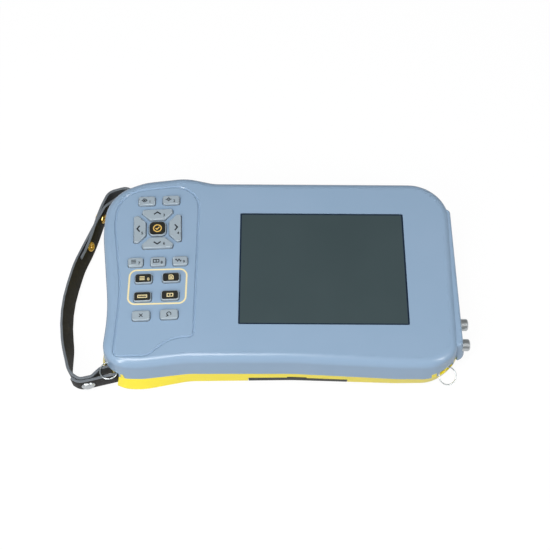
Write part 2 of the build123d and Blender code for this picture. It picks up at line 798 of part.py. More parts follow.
# ---- sockets -------------------------------------------------------------
def make_socket(y):
    """Metal shell screwed through the land, the insert with its contact holes, and the nut."""
    back_x = socket_tip_x - socket_length
    bore_end = socket_tip_x - socket_bore_depth
    tube = socket_radius - socket_tube_wall
    shell = along_x(back_x, socket_tip_x, y, socket_radius)
    shell = chamfer(shell.edges().group_by(Axis.X)[-1], socket_chamfer)
    shell -= along_x(bore_end, socket_tip_x + 1, y, socket_bore)
    shell -= along_x(back_x - 1, bore_end + 0.1, y, tube)
    insert_face = bore_end - 0.2
    insert = along_x(back_x - 1.0, insert_face, y, tube - socket_fit)
    contact_hole = along_x(insert_face - contact_hole_depth, insert_face + 1, y, contact_hole_radius)
    for heading in (45, 135, 225, 315):
        out = heading_vector(heading) * contact_circle
        insert -= Pos(0, out.X, out.Y) * contact_hole
    nut = extrude(RegularPolygon(nut_across_corners / 2, 6), socket_nut_thick)
    nut = Pos(socket_land_x, y, socket_z) * Rot(0, -90, 0) * nut
    nut -= along_x(socket_land_x - 5, socket_land_x + 1, y, socket_radius + pilot_gap)
    return shell, insert, nut


# ---- rings ---------------------------------------------------------------
def make_free_ring():
    """Ring that hangs from the front right post, pulled out and drooping."""
    post = post_axis("front_right")
    out = heading_vector(ring_heading)
    reach = ring_mid - ring_wire - ring_slack - lugs["front_right"]["radius"]
    hinge = Plane(origin=(post.X, post.Y, seam_z), x_dir=(out.X, out.Y, 0), z_dir=(0, 0, 1)).location
    return hinge * Rot(0, ring_droop, 0) * Pos(reach, 0, 0) * Torus(ring_mid, ring_wire)


def make_strap_ring():
    """The same ring round the front left post, lying on the strap's upper edge."""
    reach = ring_mid - ring_wire - ring_slack - lugs["front_left"]["radius"]
    middle = post_axis("front_left") + heading_vector(strap_ring_heading) * reach
    ring_z = strap_low_z + strap_wide + strap_ring_gap + ring_wire
    return Pos(middle.X, middle.Y, ring_z) * Torus(ring_mid, ring_wire)


# ---- strap ---------------------------------------------------------------
def path_edges(corners, z):
    """Straight runs and tangent arcs through x, y, radius corners."""
    lift = Vector(0, 0, z)
    edges = []
    here = Vector(corners[0][0], corners[0][1]) + lift
    for i in range(1, len(corners) - 1):
        start, middle, end = round_corner(corners[i - 1], corners[i], corners[i + 1], corners[i][2])
        edges.append(Edge.make_line(here, start + lift))
        edges.append(Edge.make_three_point_arc(start + lift, middle + lift, end + lift))
        here = end + lift
    edges.append(Edge.make_line(here, Vector(corners[-1][0], corners[-1][1]) + lift))
    return edges


def loop_corners(corner, heading):
    """Two corners behind a post, so that the leather turns round it in a half circle."""
    post = post_axis(corner)
    pull = heading_vector(heading)
    side = Vector(-pull.Y, pull.X)
    behind = post - pull * loop_radius
    radius = loop_radius - loop_slack
    left, right = behind + side * loop_radius, behind - side * loop_radius
    return (left.X, left.Y, radius), (right.X, right.Y, radius)


def run_direction(start, end):
    return (Vector(end[0], end[1]) - Vector(start[0], start[1])).normalized()


def second_layer_corner(index):
    """Place in the outer layer outside one corner of the main run."""
    corner = Vector(*strap_run[index][:2])
    out_before = side_normal(strap_run[index - 1], strap_run[index])
    out_after = side_normal(strap_run[index], strap_run[index + 1])
    return meet(corner + out_before * second_layer, out_before, corner + out_after * second_layer, out_after)


def strap_path():
    """Middle line of the leather: flap, front loop, main run, rear loop, tail."""
    front_outer, front_inner = loop_corners("front_left", front_pull)
    back_inner, back_outer = loop_corners("back_left", back_pull)
    flap_turn = second_layer_corner(1)
    flap_tip = Vector(*flap_turn) + run_direction(strap_run[1], strap_run[2]) * flap_reach
    flap_start = Vector(*strap_run[0][:2]) + side_normal(strap_run[0], strap_run[1]) * second_layer
    way = run_direction(strap_run[-2], strap_run[-1])
    tail_line = Vector(*strap_run[-1][:2]) + side_normal(strap_run[-2], strap_run[-1]) * second_layer
    tail_turn = tail_line + way * tail_rise
    tail_tip = tail_line - way * tail_reach
    flap = [
        (flap_tip.X, flap_tip.Y, 0),
        (*flap_turn, strap_run[1][2] + second_layer),
        (flap_start.X, flap_start.Y, strap_run[0][2]),
    ]
    tail = [tail_bend, (tail_turn.X, tail_turn.Y, tail_bend_radius), (tail_tip.X, tail_tip.Y, 0)]
    return [*flap, front_outer, front_inner, front_bend, *strap_run, back_bend, back_inner, back_outer, *tail]


def make_strap():
    edges = path_edges(strap_path(), strap_low_z)
    strap = None
    for edge in edges:
        along = edge % 0
        side = Vector(-along.Y, along.X) * (strap_thick / 2)
        rise = Vector(0, 0, strap_wide)
        start = edge @ 0
        section = Wire.make_polygon([start + side, start - side, start - side + rise, start + side + rise])
        piece = sweep(Face(section), path=Wire([edge]))
        strap = piece if strap is None else strap + piece
    print("strap length", round(sum(edge.length for edge in edges), 1))
    return strap


def fastening_frame(index, back):
    """Frame on the middle of the main run, z pointing out through the second layer."""
    way = run_direction(strap_run[index], strap_run[index + 1])
    spot = Vector(*strap_run[index + 1][:2]) - way * back
    height = strap_low_z + strap_wide / 2
    return Plane(origin=(spot.X, spot.Y, height), z_dir=(-way.Y, way.X, 0)).location


def disc(frame, low, high, radius):
    return frame * Pos(0, 0, (low + high) / 2) * Cylinder(radius, high - low)


def make_fastenings():
    """Rivets through the rear fold, the snap through the front one, and their holes."""
    inner = -strap_thick / 2
    outer = second_layer + strap_thick / 2
    rivets = []
    holes = []
    for back in rivet_back:
        frame = fastening_frame(len(strap_run) - 2, back)
        rivet = disc(frame, inner - rivet_head_thick, outer + rivet_head_thick, rivet_shank)
        rivet += disc(frame, inner - rivet_head_thick, inner, rivet_head)
        rivet += disc(frame, outer, outer + rivet_head_thick, rivet_head)
        rivets.append(rivet)
        holes.append(disc(frame, inner - 1, outer + 1, rivet_shank + rivet_hole_gap))
    run_length = (Vector(*strap_run[1][:2]) - Vector(*strap_run[0][:2])).length
    frame = fastening_frame(0, run_length - snap_from_bend)
    snap = disc(frame, outer, outer + snap_thick, snap_head)
    far_out = Vector(*snap.center()) + frame.z_axis.direction * 30
    snap = fillet(snap.edges().sort_by_distance(far_out)[0], snap_round)
    snap += disc(frame, inner - rivet_head_thick, outer + 0.5, rivet_shank)
    snap += disc(frame, inner - rivet_head_thick, inner, snap_back)
    holes.append(disc(frame, inner - 1, outer + 1, rivet_shank + rivet_hole_gap))
    return rivets, snap, holes


# ---- whole thing ---------------------------------------------------------
def build_nodes():
    """Every node by name: one shape, or a list of separate solids."""
    seat, seal = make_seal()
    nodes = {"top_shell": make_top_shell(), "bottom_shell": make_bottom_shell(seat), "housing_seal": seal}
    nodes["rubber_feet"] = make_feet()
    seat_z = base_z + housing_screw_sink
    nodes["housing_screws"] = [make_screw(x, y, seat_z, housing_screw_length) for x, y in housing_screw_places]
    lens, gasket, lcd, bracket, bracket_screws = make_screen()
    nodes["window_lens"] = lens
    nodes["lcd_gasket"] = gasket
    nodes["lcd_module"] = lcd
    nodes["lcd_bracket"] = bracket
    nodes["bracket_screws"] = bracket_screws
    for name in key_names:
        nodes[name] = make_key(name)
    nodes["keypad_mat"], nodes["keypad_board"], nodes["keypad_screws"] = make_keypad()
    board, chips, shield, board_screws = make_electronics()
    nodes["main_board"] = board
    nodes["board_parts"] = chips
    nodes["receiver_shield"] = shield
    nodes["board_screws"] = board_screws
    nodes["battery_pack"], nodes["battery_contacts"] = make_battery()
    for name, y in socket_y.items():
        shell, insert, nut = make_socket(y)
        nodes[name + "_shell"] = shell
        nodes[name + "_insert"] = insert
        nodes[name + "_nut"] = nut
    nodes["ring_front_right"] = make_free_ring()
    nodes["ring_front_left"] = make_strap_ring()
    rivets, snap, holes = make_fastenings()
    strap = make_strap()
    for hole in holes:
        strap -= hole
    nodes["strap"] = strap
    nodes["strap_rivets"] = rivets
    nodes["strap_snap"] = snap
    return nodes


def as_compound(shape):
    return Compound(children=shape) if isinstance(shape, list) else shape


os.makedirs("parts", exist_ok=True)
nodes = {name: as_compound(shape) for name, shape in build_nodes().items()}
boxes = [shape.bounding_box() for shape in nodes.values()]
low = Vector(min(b.min.X for b in boxes), min(b.min.Y for b in boxes), min(b.min.Z for b in boxes))
high = Vector(max(b.max.X for b in boxes), max(b.max.Y for b in boxes), max(b.max.Z for b in boxes))
origin_shift = Vector(-(low.X + high.X) / 2, -(low.Y + high.Y) / 2, -low.Z)
for name, shape in nodes.items():
    export_step(Location(origin_shift) * shape, "parts/" + name + ".step")
print("origin shift", origin_shift, "overall size", high - low)
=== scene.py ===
import json
import math

import bpy
import numpy as np
from mathutils import Matrix, Vector


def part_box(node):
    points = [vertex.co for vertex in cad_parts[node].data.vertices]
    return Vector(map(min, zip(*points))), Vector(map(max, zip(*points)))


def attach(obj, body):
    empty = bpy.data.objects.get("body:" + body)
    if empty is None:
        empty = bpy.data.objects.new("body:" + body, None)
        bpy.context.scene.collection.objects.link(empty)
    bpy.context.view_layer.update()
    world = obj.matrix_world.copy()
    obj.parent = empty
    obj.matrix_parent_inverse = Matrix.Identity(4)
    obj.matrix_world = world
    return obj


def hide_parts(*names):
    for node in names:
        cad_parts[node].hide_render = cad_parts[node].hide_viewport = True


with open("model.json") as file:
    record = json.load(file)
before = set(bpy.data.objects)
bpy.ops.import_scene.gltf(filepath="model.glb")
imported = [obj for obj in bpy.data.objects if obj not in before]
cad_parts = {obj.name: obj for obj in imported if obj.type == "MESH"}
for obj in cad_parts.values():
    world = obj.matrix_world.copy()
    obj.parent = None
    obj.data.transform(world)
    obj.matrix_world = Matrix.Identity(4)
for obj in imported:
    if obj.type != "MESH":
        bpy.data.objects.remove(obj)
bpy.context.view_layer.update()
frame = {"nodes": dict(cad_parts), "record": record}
nodes = frame["nodes"]
mm = 0.001

# places below are in mm in the part's own plan, measured from the window's middle
windowMiddle = (31.0, -0.5, 0)
lensDrop = 0.35                   # how far the lens lies below the top face
lensLow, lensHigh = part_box("window_lens")
planOrigin = (lensLow + lensHigh) / 2 - Vector(windowMiddle) * mm
planOrigin.z = 0
topZ = lensHigh.z / mm + lensDrop
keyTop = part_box("key_ok")[1].z / mm
keyTurn = math.radians(3.0)       # the key rows rise to the right
printThick = 0.05


def toFrame(points):
    # plan mm to the frame's metres
    return np.asarray(points, float) * mm + np.array(planOrigin)


def linear(hexColour):
    # sRGB hex to linear RGBA: the value over 12.92 at the dark end, a power of 2.4 above it
    parts = np.array([int(hexColour[i:i + 2], 16) for i in (1, 3, 5)]) / 255
    low, high = parts / 12.92, ((parts + 0.055) / 1.055) ** 2.4
    return (*np.where(parts <= 0.04045, low, high).tolist(), 1.0)


def addNode(tree, kind, inputs=None, **settings):
    # adds a node, sets its properties, and links or fills each of its inputs
    node = tree.nodes.new(kind)
    for name, value in settings.items():
        setattr(node, name, value)
    for key, value in (inputs or {}).items():
        if isinstance(value, bpy.types.NodeSocket):
            tree.links.new(value, node.inputs[key])
        else:
            node.inputs[key].default_value = value
    return node


def startMaterial(name):
    material = bpy.data.materials.new(name)
    material.use_nodes = True
    tree = material.node_tree
    tree.nodes.clear()
    return material, tree


print("camera and light")
camera = {
    "place": (-6.01, -311.4, 591.67 + topZ),
    "elevation": 62.744,     # degrees that it looks down
    "azimuth": 0.778,
    "roll": 1.012,
    "lens": 63.58,
    "sensor": 36,
}


def makeCamera(c):
    data = bpy.data.cameras.new("camera")
    data.lens, data.sensor_width = c["lens"], c["sensor"]
    eye = bpy.data.objects.new("camera", data)
    el, az, roll = (math.radians(c[k]) for k in ("elevation", "azimuth", "roll"))
    level = math.cos(el)
    ahead = Vector((math.sin(az) * level, math.cos(az) * level, -math.sin(el)))
    right = ahead.cross(Vector((0, 0, 1))).normalized()
    up = right.cross(ahead)
    turnedRight = right * math.cos(roll) + up * math.sin(roll)
    turnedUp = up * math.cos(roll) - right * math.sin(roll)
    eye.matrix_world = Matrix((turnedRight, turnedUp, -ahead)).transposed().to_4x4()
    eye.location = Vector(c["place"]) * mm + planOrigin
    bpy.context.scene.collection.objects.link(eye)
    bpy.context.scene.camera = eye


makeCamera(camera)

studio = {
    "world": 0.2,      # strength of the white surroundings as light
    # the floor: half its width in metres, the paper's colour, its glow's strength and share,
    # and how much of that share reflections see
    "floorHalf": 4.0,
    "floorColour": "#B4B4B6",
    "glow": 1.1,
    "floorGlow": 0.86,
    "floorInGloss": 0.3,
    # name, place in metres, width, height, power; each aims at the middle of the object
    "lamps": [
        ("overhead", (-0.25, -0.25, 1.3), 0.6, 0.6, 7.4),
        ("frontLeft", (-0.47, -0.60, 0.64), 0.2, 1.0, 5.2),
        ("frontRight", (0.66, -0.47, 0.55), 0.16, 0.7, 2.4),
    ],
}


def makeWorld(s):
    # dim white for the light, full white where the camera or clear plastic sees it
    scene = bpy.context.scene
    scene.view_settings.view_transform = "Standard"
    scene.world = bpy.data.worlds.new("studio")
    scene.world.use_nodes = True
    tree = scene.world.node_tree
    tree.nodes.clear()
    ray = addNode(tree, "ShaderNodeLightPath")
    seen = addNode(tree, "ShaderNodeMath", {
        0: ray.outputs["Is Camera Ray"],
        1: ray.outputs["Is Transmission Ray"],
    }, operation="MAXIMUM")
    strength = addNode(tree, "ShaderNodeMapRange", {
        "Value": seen.outputs[0],
        "To Min": s["world"],
        "To Max": 1.0,
    })
    sky = addNode(tree, "ShaderNodeBackground", {
        "Color": (1, 1, 1, 1),
        "Strength": strength.outputs[0],
    })
    addNode(tree, "ShaderNodeOutputWorld", {"Surface": sky.outputs[0]})


def makeLamps(s):
    for name, spot, width, height, power in s["lamps"]:
        data = bpy.data.lights.new(name, "AREA")
        data.shape, data.energy = "ELLIPSE", power
        data.size, data.size_y = width, height
        lamp = bpy.data.objects.new(name, data)
        lamp.location = spot
        lamp.rotation_euler = (-Vector(spot)).to_track_quat("-Z", "Y").to_euler()
        bpy.context.scene.collection.objects.link(lamp)


def makeFloor(s):
    # white paper: mostly glow for the camera, less of it in reflections, plain for the light
    half = s["floorHalf"]
    mesh = bpy.data.meshes.new("floor")
    corners = [(-half, -half, 0), (half, -half, 0), (half, half, 0), (-half, half, 0)]
    mesh.from_pydata(corners, [], [(0, 1, 2, 3)])
    material, tree = startMaterial("white_paper_floor")
    ray = addNode(tree, "ShaderNodeLightPath")
    gloss = addNode(tree, "ShaderNodeMath", {
        0: ray.outputs["Is Glossy Ray"],
        1: s["floorInGloss"],
    }, operation="MULTIPLY")
    seen = addNode(tree, "ShaderNodeMath", {
        0: ray.outputs["Is Camera Ray"],
        1: gloss.outputs[0],
    }, operation="MAXIMUM")
    share = addNode(tree, "ShaderNodeMath", {
        0: seen.outputs[0],
        1: s["floorGlow"],
    }, operation="MULTIPLY")
    paper = addNode(tree, "ShaderNodeBsdfDiffuse", {"Color": linear(s["floorColour"])})
    glow = addNode(tree, "ShaderNodeEmission", {"Color": (1, 1, 1, 1), "Strength": s["glow"]})
    both = addNode(tree, "ShaderNodeMixShader", {
        0: share.outputs[0],
        1: paper.outputs[0],
        2: glow.outputs[0],
    })
    addNode(tree, "ShaderNodeOutputMaterial", {"Surface": both.outputs[0]})
    mesh.materials.append(material)
    floor = bpy.data.objects.new("floor", mesh)
    bpy.context.scene.collection.objects.link(floor)


makeWorld(studio)
makeLamps(studio)
makeFloor(studio)

print("finishes")
noiseLow, noiseHigh = 0.3, 0.7      # nearly all of the noise lies between these
wander = 0.03                       # how far a roughness strays from its middle
driftDetail = 3.0
grainStrength = 0.4

# sizes in mm of the grain and of the drift in colour, and the grain's height
usual = {"grain": 0.8, "drift": 35.0, "relief": 0.01, "extra": {}}


def noise(tree, grain, detail=2.0):
    # solid noise on object coordinates, with grains of the given size in mm
    spot = addNode(tree, "ShaderNodeTexCoord")
    return addNode(tree, "ShaderNodeTexNoise", {
        "Vector": spot.outputs["Object"],
        "Scale": 1000 / grain,
        "Detail": detail,
    }).outputs["Fac"]


def spread(tree, value, low, high):
    # the noise's range mapped on low to high
    return addNode(tree, "ShaderNodeMapRange", {
        "Value": value,
        "From Min": noiseLow,
        "From Max": noiseHigh,
        "To Min": low,
        "To Max": high,
    }).outputs[0]


def blendColours(tree, share, first, second):
    mix = addNode(tree, "ShaderNodeMix", {0: share}, data_type="RGBA")
    for key, value in ((6, first), (7, second)):
        if isinstance(value, bpy.types.NodeSocket):
            tree.links.new(value, mix.inputs[key])
        else:
            mix.inputs[key].default_value = value
    return mix.outputs[2]


def finishSurface(tree, colour, roughness, normal, extra):
    inputs = {"Base Color": colour, "Roughness": roughness, "Normal": normal, **extra}
    shader = addNode(tree, "ShaderNodeBsdfPrincipled", inputs)
    addNode(tree, "ShaderNodeOutputMaterial", {"Surface": shader.outputs["BSDF"]})


def moulded(name, m):
    # plastic, rubber, paint or metal: an even colour with slow drift, a fine grain in the
    # surface, and a roughness that wanders a little round its middle
    m = {**usual, **m}
    material, tree = startMaterial(name)
    fine = noise(tree, m["grain"])
    drift = spread(tree, noise(tree, m["drift"], driftDetail), 0.0, 1.0)
    colour = blendColours(tree, drift, linear(m["colour"]), linear(m["second"]))
    roughness = spread(tree, fine, m["roughness"] - wander, m["roughness"] + wander)
    bump = addNode(tree, "ShaderNodeBump", {
        "Height": fine,
        "Distance": m["relief"] * mm,
        "Strength": grainStrength,
    })
    finishSurface(tree, colour, roughness, bump.outputs[0], m["extra"])
    return material


def windowPane(name, m):
    # cover of the screen: dark plastic over an unlit display; its grey-green is partly the pane's
    # own tint and partly a painted soft reflection of the white surroundings, and a navy line is
    # painted round its edge as the shade of its recess, where a place is nearer the edge than the
    # line's width
    material, tree = startMaterial(name)
    spot = addNode(tree, "ShaderNodeTexCoord")
    parts = addNode(tree, "ShaderNodeSeparateXYZ", {0: spot.outputs["Object"]})
    # painted shade of the recess: the places within the line's width of the pane's edges
    edges = []
    for axis in (0, 1):
        middle = (lensLow[axis] + lensHigh[axis]) / 2
        half = (lensHigh[axis] - lensLow[axis]) / 2
        offset = addNode(tree, "ShaderNodeMath", {
            0: parts.outputs[axis],
            1: middle,
        }, operation="SUBTRACT")
        away = addNode(tree, "ShaderNodeMath", {0: offset.outputs[0]}, operation="ABSOLUTE")
        edges.append(addNode(tree, "ShaderNodeMath", {
            0: away.outputs[0],
            1: half - m["line"] * mm,
        }, operation="GREATER_THAN").outputs[0])
    edge = addNode(tree, "ShaderNodeMath", {0: edges[0], 1: edges[1]}, operation="MAXIMUM")
    # the pane's colour: partly its own tint, partly painted soft reflection of the white
    # surroundings
    drift = spread(tree, noise(tree, m["drift"]), 0.0, 1.0)
    face = blendColours(tree, drift, linear(m["colour"]), linear(m["second"]))
    # navy painted shade of the recess laid round the pane's edge
    colour = blendColours(tree, edge.outputs[0], face, linear(m["recessShadeColour"]))
    fine = noise(tree, m["grain"])
    bump = addNode(tree, "ShaderNodeBump", {
        "Height": fine,
        "Distance": m["relief"] * mm,
        "Strength": m["strength"],
    })
    roughness = spread(tree, fine, *m["roughness"])
    finishSurface(tree, colour, roughness, bump.outputs[0], m["extra"])
    return material


def leatherHide(name, m):
    # leather: grain of small cells with creases, a darker flesh side, and pale cut edges,
    # which the strap's own "cut" attribute marks
    material, tree = startMaterial(name)
    spot = addNode(tree, "ShaderNodeTexCoord")
    cells = addNode(tree, "ShaderNodeTexVoronoi", {
        "Vector": spot.outputs["Object"],
        "Scale": 1000 / m["grain"],
    }, feature="DISTANCE_TO_EDGE")
    cut = addNode(tree, "ShaderNodeAttribute", attribute_name="cut")
    outer = addNode(tree, "ShaderNodeAttribute", attribute_name="outer")
    mottle = spread(tree, noise(tree, m["mottle"], m["mottleDetail"]), 0.0, 1.0)
    flesh = blendColours(tree, mottle, linear(m["flesh"]), linear(m["fleshDark"]))
    face = blendColours(tree, outer.outputs["Fac"], flesh, linear(m["skin"]))
    colour = blendColours(tree, cut.outputs["Fac"], face, linear(m["edge"]))
    height = addNode(tree, "ShaderNodeMath", {
        0: cells.outputs["Distance"],
        1: m["cellTop"],
    }, operation="MINIMUM")
    bump = addNode(tree, "ShaderNodeBump", {
        "Height": height.outputs[0],
        "Distance": m["relief"] * mm,
        "Strength": m["strength"],
    })
    roughness = spread(tree, noise(tree, m["polish"]), *m["roughness"])
    finishSurface(tree, colour, roughness, bump.outputs[0], {})
    return material


finishes = {
    # satin painted ABS: soft pale blue, with a broad sheen where it rounds over
    "blue_plastic": moulded("satin_abs_paint", {
        "colour": "#91ABC5", "second": "#94ADC7", "roughness": 0.2, "grain": 0.9, "relief": 0.004,
    }),
    # moulded ABS: a clear warm yellow with a thin gloss
    "yellow_plastic": moulded("yellow_abs", {
        "colour": "#FFEB30", "second": "#FFED3A", "roughness": 0.36, "grain": 0.9, "relief": 0.008,
        "extra": {"Coat Weight": 0.5, "Coat Roughness": 0.3},
    }),
    # nitrile rubber: matt, dark and slightly chalky
    "black_rubber": moulded("black_nitrile_rubber", {
        "colour": "#1E1E1E", "second": "#262625", "roughness": 0.82, "grain": 0.6, "relief": 0.03,
    }),
    # zinc-plated steel: cool grey, clouded, half dull
    "steel": moulded("zinc_plated_steel", {
        "colour": "#B4B6B8", "second": "#A6A8AC", "roughness": 0.34, "grain": 1.2, "drift": 6.0,
        "extra": {"Metallic": 1.0},
    }),
    # tinted acrylic: a deep green-grey pane, partly its own tint and partly painted soft
    # reflection, with a navy line of painted recess shade round it
    "clear_window": windowPane("tinted_pmma_window", {
        "colour": "#3D4B4E", "second": "#404E51", "line": 0.9, "recessShadeColour": "#16263A",
        "drift": 45.0, "grain": 1.5, "relief": 0.002, "strength": 0.2,
        "roughness": (0.3, 0.36), "extra": {"Specular IOR Level": 0.25},
    }),
    # polarizing film of the display: smooth and nearly black
    "screen": moulded("display_polarizer", {
        "colour": "#202426", "second": "#23282B", "roughness": 0.25,
    }),
    # silicone key caps under a hard satin coat: cool light grey
    "grey_keys": moulded("coated_silicone_keys", {
        "colour": "#9DABB6", "second": "#A2B0B9", "roughness": 0.36, "grain": 0.7, "relief": 0.008,
        "extra": {"Coat Weight": 0.4, "Coat Roughness": 0.25},
    }),
    # silicone of the key mat: matt mid grey
    "grey_rubber": moulded("grey_silicone", {
        "colour": "#A0A4A8", "second": "#9A9EA2", "roughness": 0.7,
    }),
    # solder mask of the boards: deep green with some gloss
    "green_board": moulded("solder_mask", {
        "colour": "#1E6B3A", "second": "#1A6136", "roughness": 0.35,
    }),
    # moulded ABS of the battery case: soft black with a fine spark-eroded grain
    "black_plastic": moulded("black_abs", {
        "colour": "#343634", "second": "#3C3E3A", "roughness": 0.5, "relief": 0.02,
    }),
    # gold plating: warm and bright
    "gold_contacts": moulded("gold_plating", {
        "colour": "#E3B85A", "second": "#DDB052", "roughness": 0.22, "extra": {"Metallic": 1.0},
    }),
    # satin nickel plating: pale and even, with soft reflections
    "nickel": moulded("satin_nickel", {
        "colour": "#E2E7E8", "second": "#D8DEE0", "roughness": 0.32, "relief": 0.003, "drift": 12.0,
        "extra": {"Metallic": 1.0},
    }),
    # polished brass: pale gold
    "brass": moulded("polished_brass", {
        "colour": "#EECB7C", "second": "#E6BE68", "roughness": 0.28, "drift": 12.0,
        "extra": {"Metallic": 1.0},
    }),
    # bridle leather: near-black inside, slate outside, with paler cut edges
    "leather": leatherHide("bridle_leather", {
        "flesh": "#1E1C19", "fleshDark": "#181613", "skin": "#44474A", "edge": "#6A7076",
        "grain": 1.1, "mottle": 6.0, "mottleDetail": 4.0, "cellTop": 0.5,
        "relief": 0.08, "strength": 0.5, "polish": 2.0, "roughness": (0.55, 0.68),
    }),
}
for part in frame["record"]["subparts"]:
    node = nodes[part["node"]]
    node.data.materials.clear()
    node.data.materials.append(finishes[part["material_slot"]])

# pad-printing inks: near-black, slate, cream and gold, all thin and satin
darkInk = moulded("dark_key_ink", {
    "colour": "#1A1B17", "second": "#1F201B", "roughness": 0.4, "relief": 0.004,
})
greyInk = moulded("slate_key_ink", {
    "colour": "#121820", "second": "#171D25", "roughness": 0.4, "relief": 0.004,
})
creamInk = moulded("cream_ink", {
    "colour": "#F6E7B4", "second": "#F3E2AA", "roughness": 0.45, "relief": 0.004,
})
goldInk = moulded("gold_ink", {
    "colour": "#F2CC70", "second": "#EBC264", "roughness": 0.4, "relief": 0.004,
})


def sweepFaces(rows, columns, closed):
    # quads of a grid of rows by columns, whose columns close on themselves
    i, j = np.meshgrid(np.arange(rows if closed else rows - 1), np.arange(columns), indexing="ij")
    i, j = i.ravel(), j.ravel()
    nextRow, nextColumn = (i + 1) % rows, (j + 1) % columns
    row, onward = i * columns, nextRow * columns
    return np.stack([row + j, row + nextColumn, onward + nextColumn, onward + j], 1).tolist()


def sweep(points, sides, ups, section, closed=False):
    # each point plus the section's first number times its side plus the second times its up
    across, along = section[None, :, :1], section[None, :, 1:]
    grid = points[:, None] + across * sides[:, None] + along * ups[:, None]
    count = len(section)
    faces = sweepFaces(len(points), count, closed)
    if not closed:
        last = (len(points) - 1) * count
        faces += [list(range(count))[::-1], [last + k for k in range(count)]]
    return grid.reshape(-1, 3), faces


def lathe(profile, segments=40):
    # radius and height turned about z, with one point at each end on the axis
    turn = np.arange(segments) / segments * 2 * math.pi
    radius, height = profile[1:-1, 0], profile[1:-1, 1]
    x = radius[:, None] * np.cos(turn)
    y = radius[:, None] * np.sin(turn)
    z = height[:, None] + np.zeros(segments)
    rings = np.stack([x, y, z], -1).reshape(-1, 3)
    ends = np.array([[0, 0, profile[0, 1]], [0, 0, profile[-1, 1]]])
    count = len(radius)
    faces = sweepFaces(count, segments, False)
    low, high = count * segments, count * segments + 1
    for k in range(segments):
        after = (k + 1) % segments
        faces.append([low, after, k])
        faces.append([high, (count - 1) * segments + k, (count - 1) * segments + after])
    return np.concatenate([rings, ends]), faces


def joined(shapes):
    # several surfaces as one list of points and one of faces
    points, faces, start = [], [], 0
    for shape, shapeFaces in shapes:
        points.append(shape)
        faces += [[k + start for k in face] for face in shapeFaces]
        start += len(shape)
    return np.concatenate(points), faces


def addPiece(name, shapes, material, body, sharp=35):
    # one object in the frame from surfaces in plan mm, riding on a body
    points, faces = joined(shapes)
    mesh = bpy.data.meshes.new(name)
    mesh.from_pydata(toFrame(points).tolist(), [], faces)
    mesh.materials.append(material)
    mesh.shade_smooth()
    mesh.set_sharp_from_angle(angle=math.radians(sharp))
    mesh.validate()
    piece = bpy.data.objects.new(name, mesh)
    bpy.context.scene.collection.objects.link(piece)
    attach(piece, body)
    return piece


def roundedPath(corners, step=2.0, arcStep=6.0):
    # straight runs joined by tangent arcs; an arc starts its radius times the tangent of half
    # the turn before its corner
    corners = np.array(corners, float)
    path = [corners[0, :2]]
    for before, at, after in zip(corners[:-2], corners[1:-1], corners[2:]):
        into = (at - before)[:2] / np.linalg.norm((at - before)[:2])
        onward = (after - at)[:2] / np.linalg.norm((after - at)[:2])
        turn = math.atan2(into[0] * onward[1] - into[1] * onward[0], into @ onward)
        start = at[:2] - into * at[2] * math.tan(abs(turn) / 2)
        side = math.copysign(1, turn)
        middle = start + np.array([-into[1], into[0]]) * at[2] * side
        count = max(2, math.ceil(abs(math.degrees(turn)) / arcStep))
        angle = np.arange(count + 1) / count * turn
        x, y = start - middle
        path += [middle + np.array([x * math.cos(a) - y * math.sin(a),
                                    x * math.sin(a) + y * math.cos(a)]) for a in angle]
    path.append(corners[-1, :2])
    filled = [path[0]]
    for a, b in zip(path[:-1], path[1:]):
        count = max(1, round(np.linalg.norm(b - a) / step))
        filled += [a + (b - a) * k / count for k in range(1, count + 1)]
    return np.array(filled)


def roundedBox(width, height, radius, count=3):
    # closed section, counter-clockwise, with quarter rounds at its corners
    spots = []
    for quarter, (sx, sy) in enumerate(((1, 1), (-1, 1), (-1, -1), (1, -1))):
        angle = (quarter + np.arange(count + 1) / count) * math.pi / 2
        spots.append(np.stack([sx * (width / 2 - radius) + radius * np.cos(angle),
                               sy * (height / 2 - radius) + radius * np.sin(angle)], 1))
    return np.concatenate(spots)


mitreLimit = 0.3      # a sharp bend is stretched no further than one over this


def pathSides(points, closed=False):
    # side vectors left of a flat path, stretched at its bends so that the width stays even
    steps = np.roll(points, -1, 0) - points if closed else np.diff(points, axis=0)
    steps = steps / np.linalg.norm(steps, axis=1, keepdims=True)
    if closed:
        before, after = np.roll(steps, 1, 0), steps
    else:
        before, after = np.vstack([steps[:1], steps]), np.vstack([steps, steps[-1:]])
    along = before + after
    along = along / np.linalg.norm(along, axis=1, keepdims=True)
    stretch = 1 / np.maximum((along * after).sum(1), mitreLimit)
    return np.stack([-along[:, 1], along[:, 0]], 1) * stretch[:, None]


